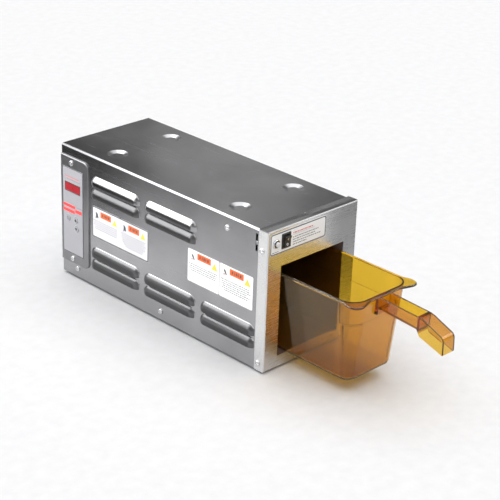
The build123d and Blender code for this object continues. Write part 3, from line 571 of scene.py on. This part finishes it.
class Print:
    """Ink on a flat face: thin closed plates in one piece, placed in millimetres from a corner."""

    def __init__(self, name, corner, across, up, body, slot):
        self.name, self.corner, self.body, self.slot = name, Vector(corner), body, slot
        self.across, self.up = Vector(across), Vector(up)
        self.out = self.across.cross(self.up)
        self.mesh = bmesh.new()
        self.mats = []

    def spot(self, point, lift):
        return self.corner + MM * (point[0] * self.across + point[1] * self.up + lift * self.out)

    def index(self, mat):
        if mat not in self.mats:
            self.mats.append(mat)
        return self.mats.index(mat)

    def wall(self, lows, highs, slot):
        """A closed wall of quads between two rows of as many points."""
        for a, b, c, d in zip(lows, lows[1:] + lows[:1], highs[1:] + highs[:1], highs):
            self.mesh.faces.new((a, b, c, d)).material_index = slot

    def patch(self, mat, outline, lift=0.0):
        """A filled outline, anticlockwise as it is read."""
        slot = self.index(mat)
        low = [self.mesh.verts.new(self.spot(p, lift)) for p in outline]
        high = [self.mesh.verts.new(self.spot(p, lift + PRINT_T)) for p in outline]
        self.mesh.faces.new(high).material_index = slot
        self.mesh.faces.new(low[::-1]).material_index = slot
        self.wall(low, high, slot)

    def ring(self, mat, outer, inner):
        """The band between two outlines of as many points."""
        slot = self.index(mat)
        rows = [[self.mesh.verts.new(self.spot(p, lift)) for p in line]
                for line, lift in ((outer, 0.0), (outer, PRINT_T), (inner, PRINT_T), (inner, 0.0))]
        for low, high in zip(rows, rows[1:] + rows[:1]):
            self.wall(low, high, slot)

    def words(self, mat, u, v, width, height, start, gap=1.1):
        """A line of small blocks as long as words."""
        end = u + width
        word = start
        while u + WORDS[word % len(WORDS)] <= end:
            length = WORDS[word % len(WORDS)]
            self.patch(mat, rectangle(u, v, u + length, v + height))
            u += length + gap
            word += 1

    def finish(self):
        mesh = bpy.data.meshes.new(self.name)
        bmesh.ops.recalc_face_normals(self.mesh, faces=self.mesh.faces)
        self.mesh.to_mesh(mesh)
        self.mesh.free()
        for mat in self.mats:
            mesh.materials.append(mat)
        piece = bpy.data.objects.new(self.name, mesh)
        bpy.context.scene.collection.objects.link(piece)
        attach(piece, self.body)


def ink(name, colour):
    """Screen-printed ink: slightly uneven cover."""
    mat, t = material(name)
    low = tuple(c * 0.86 for c in colour)
    t.set("Base Color", t.ramp(t.noise(1500, 3), ((0.3, low), (0.7, colour))))
    t.set("Roughness", t.maths("ADD", t.maths("MULTIPLY", t.noise(900, 2), 0.12), 0.39))
    t.bump(t.noise(2500, 2), 0.15, 0.000005)
    return mat


INK = {
    "black": ink("ink_black", (0.02, 0.02, 0.02)),
    "dark": ink("ink_dark", (0.07, 0.07, 0.075)),
    "grey": ink("ink_grey", (0.15, 0.15, 0.16)),
    "pale": ink("ink_pale", (0.45, 0.45, 0.47)),
    "white": ink("ink_white", (0.82, 0.82, 0.82)),
    "orange": ink("ink_orange", (0.80, 0.14, 0.022)),
    "yellow": ink("ink_yellow", (0.80, 0.69, 0.07)),
    "red": ink("ink_red", (0.70, 0.06, 0.05)),
    "pink": ink("ink_pink", (0.62, 0.30, 0.31)),
}

# one half of a side label: each part's left, right, top and bottom as shares of the half's width and of
# its height, and the top and bottom of the lines in either half
HALF_LAYOUTS = {
    "side_label_rear": {"sign": (0.08, 0.27, 0.10, 0.40), "bar": (0.30, 0.68, 0.10, 0.29),
                        "triangle": (0.72, 0.90, 0.15, 0.35), "lines": ((0.42, 0.76), (0.42, 0.90))},
    "side_label_front": {"sign": (0.08, 0.25, 0.09, 0.34), "bar": (0.30, 0.72, 0.05, 0.24),
                         "triangle": (0.74, 0.93, 0.12, 0.33), "lines": ((0.42, 0.73), (0.42, 0.86))},
}
BAR_BLOCKS = ((0.16, 2.0), (0.34, 1.2), (0.46, 2.2), (0.60, 1.4), (0.74, 2.4))  # share along the bar, width
LINE_PITCH = 3.0
LINE_INSETS = (3.0, 4.5, 3.4, 6.5, 5.0, 9.0, 12.0)


def sign(sheet, u0, v0, u1, v1, round_mark, tint):
    """A framed square with a plain slanting mark, and a round one on it if asked for."""
    sheet.ring(INK["pale"], rounded(u0, v0, u1, v1, 1.0),
               rounded(u0 + 0.4, v0 + 0.4, u1 - 0.4, v1 - 0.4, 0.7))
    middle, tall = (u0 + u1) / 2, v1 - v0
    slant = [(middle - 2.2, v1 - 0.18 * tall), (middle - 3.0, v1 - 0.34 * tall),
             (middle + 1.6, v0 + 0.14 * tall), (middle + 3.2, v0 + 0.24 * tall),
             (middle + 0.4, v1 - 0.30 * tall)]
    sheet.patch(INK["dark"], slant)
    if round_mark:
        sheet.patch(INK["dark"], oval(middle - 0.2, v0 + 0.46 * tall, 2.3, 3.2), PRINT_T)
    sheet.patch(tint, rounded(middle - 3.4, v0 + 0.12 * tall, middle - 0.6, v0 + 0.30 * tall, 0.5))


def side_print(node, border, round_marks, tint):
    """Coloured blocks, a plain triangle and rows of word-like marks on a pair of side labels."""
    low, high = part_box(node)
    width, height = (high.y - low.y) / MM, (high.z - low.z) / MM
    corner = (low.x, high.y, low.z)
    sheet = Print(node + "_print", corner, (0, -1, 0), (0, 0, 1), "cabinet", NODE_SLOTS[node])
    if border:
        sheet.ring(INK["black"], rounded(0.2, 0.2, width - 0.2, height - 0.2, 1.8),
                   rounded(1.5, 1.5, width - 1.5, height - 1.5, 1.2))
    layout = HALF_LAYOUTS[node]
    half = width / 2
    for side, (top, bottom) in enumerate(layout["lines"]):
        boxes = {}
        for part in ("sign", "bar", "triangle"):
            left, right, upper, lower = layout[part]
            boxes[part] = (side * half + left * half, (1 - lower) * height,
                           side * half + right * half, (1 - upper) * height)
        sign(sheet, *boxes["sign"], round_marks, INK[tint])
        u0, v0, u1, v1 = boxes["bar"]
        sheet.patch(INK["orange"], rounded(u0, v0, u1, v1, 0.6))
        for share, wide in BAR_BLOCKS:
            at = u0 + share * (u1 - u0)
            sheet.patch(INK["dark"], rectangle(at, v0 + 2.6, at + wide, v1 - 2.4), PRINT_T)
        u0, v0, u1, v1 = boxes["triangle"]
        sheet.patch(INK["yellow"], [(u0, v0), (u1, v0), ((u0 + u1) / 2, v1)])
        for row in range(int((bottom - top) * height / LINE_PITCH)):
            inset = LINE_INSETS[row % len(LINE_INSETS)]
            v = (1 - top) * height - row * LINE_PITCH - 1.6
            sheet.words(INK["grey"], side * half + inset, v, half - 2 * inset, 1.1, row * 3 + side)
    sheet.finish()


def face_print():
    """Border, heading and rows of marks on the plate round the switch."""
    low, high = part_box("face_label")
    width, height = (high.x - low.x) / MM, (high.z - low.z) / MM
    sheet = Print("face_label_print", low, (1, 0, 0), (0, 0, 1), "cabinet", NODE_SLOTS["face_label"])
    sheet.ring(INK["grey"], rounded(0.3, 0.3, width - 0.3, height - 0.3, 3.4),
               rounded(1.9, 1.9, width - 1.9, height - 1.9, 2.6))
    text = (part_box("switch_housing")[1].x - low.x) / MM + 5
    sheet.words(INK["red"], text, height - 8.5, 38, 1.5, 2)
    sheet.patch(INK["pale"], rectangle(text, height - 10.4, text + 40, height - 9.9))
    for row, length in enumerate((50, 44, 52, 30)):
        sheet.words(INK["grey"], text, height - 14.4 - 3.4 * row, length, 1.2, row)
    sheet.words(INK["dark"], 4.0, 3.2, 14, 1.0, 3)
    sheet.finish()


def overlay_print():
    """Frame, rule, divider line and the rings round the buttons on the control overlay."""
    low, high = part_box("control_overlay")
    width, height = (high.y - low.y) / MM, (high.z - low.z) / MM
    sheet = Print("control_overlay_print", (low.x, high.y, low.z), (0, -1, 0), (0, 0, 1), "cabinet",
                  NODE_SLOTS["control_overlay"])
    sheet.ring(INK["dark"], rectangle(0.1, 0.1, width - 0.1, height - 0.1),
               rectangle(1.0, 1.0, width - 1.0, height - 1.0))
    window_low, window_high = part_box("display_window")
    left = (high.y - window_high.y) / MM
    right = (high.y - window_low.y) / MM
    top = (window_high.z - low.z) / MM
    sheet.ring(INK["black"], rectangle(left - 0.9, top - 13.0, right + 0.9, top + 1.0),
               rectangle(left - 0.15, top - 12.05, right + 0.15, top + 0.15))
    sheet.patch(INK["red"], rectangle(left, top + 9.6, right - 3, top + 10.2))
    sheet.words(INK["pink"], left, top + 7.6, right - left, 1.2, 4, 0.7)
    sheet.patch(INK["grey"], rectangle(left + 3, top + 5.8, right, top + 6.2))
    line = (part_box("indicator_bars")[1].z - low.z) / MM - 0.5
    sheet.patch(INK["grey"], rectangle(width - 14.0, line, width - 1.0, line + 0.5))
    for node in ("power_button", "up_button", "down_button"):
        button_low, button_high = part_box(node)
        cu = (high.y - (button_low.y + button_high.y) / 2) / MM
        cv = ((button_low.z + button_high.z) / 2 - low.z) / MM
        sheet.ring(INK["pale"], oval(cu, cv, 5.9, 5.9), oval(cu, cv, 5.3, 5.3))
    sheet.finish()


def button_prints():
    """A ring with a tick, and two arrow heads, on the push buttons."""
    for node, way in (("power_button", 0), ("up_button", 1), ("down_button", -1)):
        low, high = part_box(node)
        middle = (low.x, (low.y + high.y) / 2, (low.z + high.z) / 2)
        sheet = Print(node + "_print", middle, (0, -1, 0), (0, 0, 1), node, NODE_SLOTS[node])
        if way:
            sheet.patch(INK["black"], [(way * -2.5, way * -1.6), (way * 2.5, way * -1.6), (0, way * 2.4)])
            stem_low, stem_high = sorted((way * -2.6, way * -1.6))
            sheet.patch(INK["black"], rectangle(-0.9, stem_low, 0.9, stem_high))
        else:
            arc = (math.radians(125), math.radians(290))
            outer, inner = (oval(0, -0.2, radius, radius, *arc) for radius in (2.5, 1.9))
            sheet.patch(INK["dark"], outer + inner[::-1])
            sheet.patch(INK["dark"], rectangle(-0.3, 0.1, 0.3, 3.0))
        sheet.finish()


# y, z in mm of the rocker's lower end, valley and upper end, from the slot face and the switch's middle
ROCKER_FACE = ((-3.50, -8.77), (-2.84, -0.77), (-5.94, 6.64))


def rocker_print():
    """A bar on the upper half of the rocker and a ring on the lower."""
    low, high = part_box("switch_housing")
    middle = Vector(((low.x + high.x) / 2, FACE_Y, (low.z + high.z) / 2))
    points = [middle + MM * Vector((0, y, z)) for y, z in ROCKER_FACE]
    slot = NODE_SLOTS["rocker_paddle"]
    for name, foot, top in (("rocker_ring", *points[:2]), ("rocker_bar", *points[1:])):
        sheet = Print(name, (foot + top) / 2, (1, 0, 0), (top - foot).normalized(), "rocker", slot)
        if name == "rocker_bar":
            sheet.patch(INK["white"], rectangle(-0.6, -1.8, 0.6, 1.8))
        else:
            sheet.ring(INK["white"], oval(0, 0, 1.7, 1.7), oval(0, 0, 0.9, 0.9))
        sheet.finish()


place_camera()
make_studio()
paint_nodes()
side_print("side_label_rear", border=True, round_marks=True, tint="grey")
side_print("side_label_front", border=False, round_marks=False, tint="pink")
face_print()
overlay_print()
button_prints()
rocker_print()
insulation_pads()
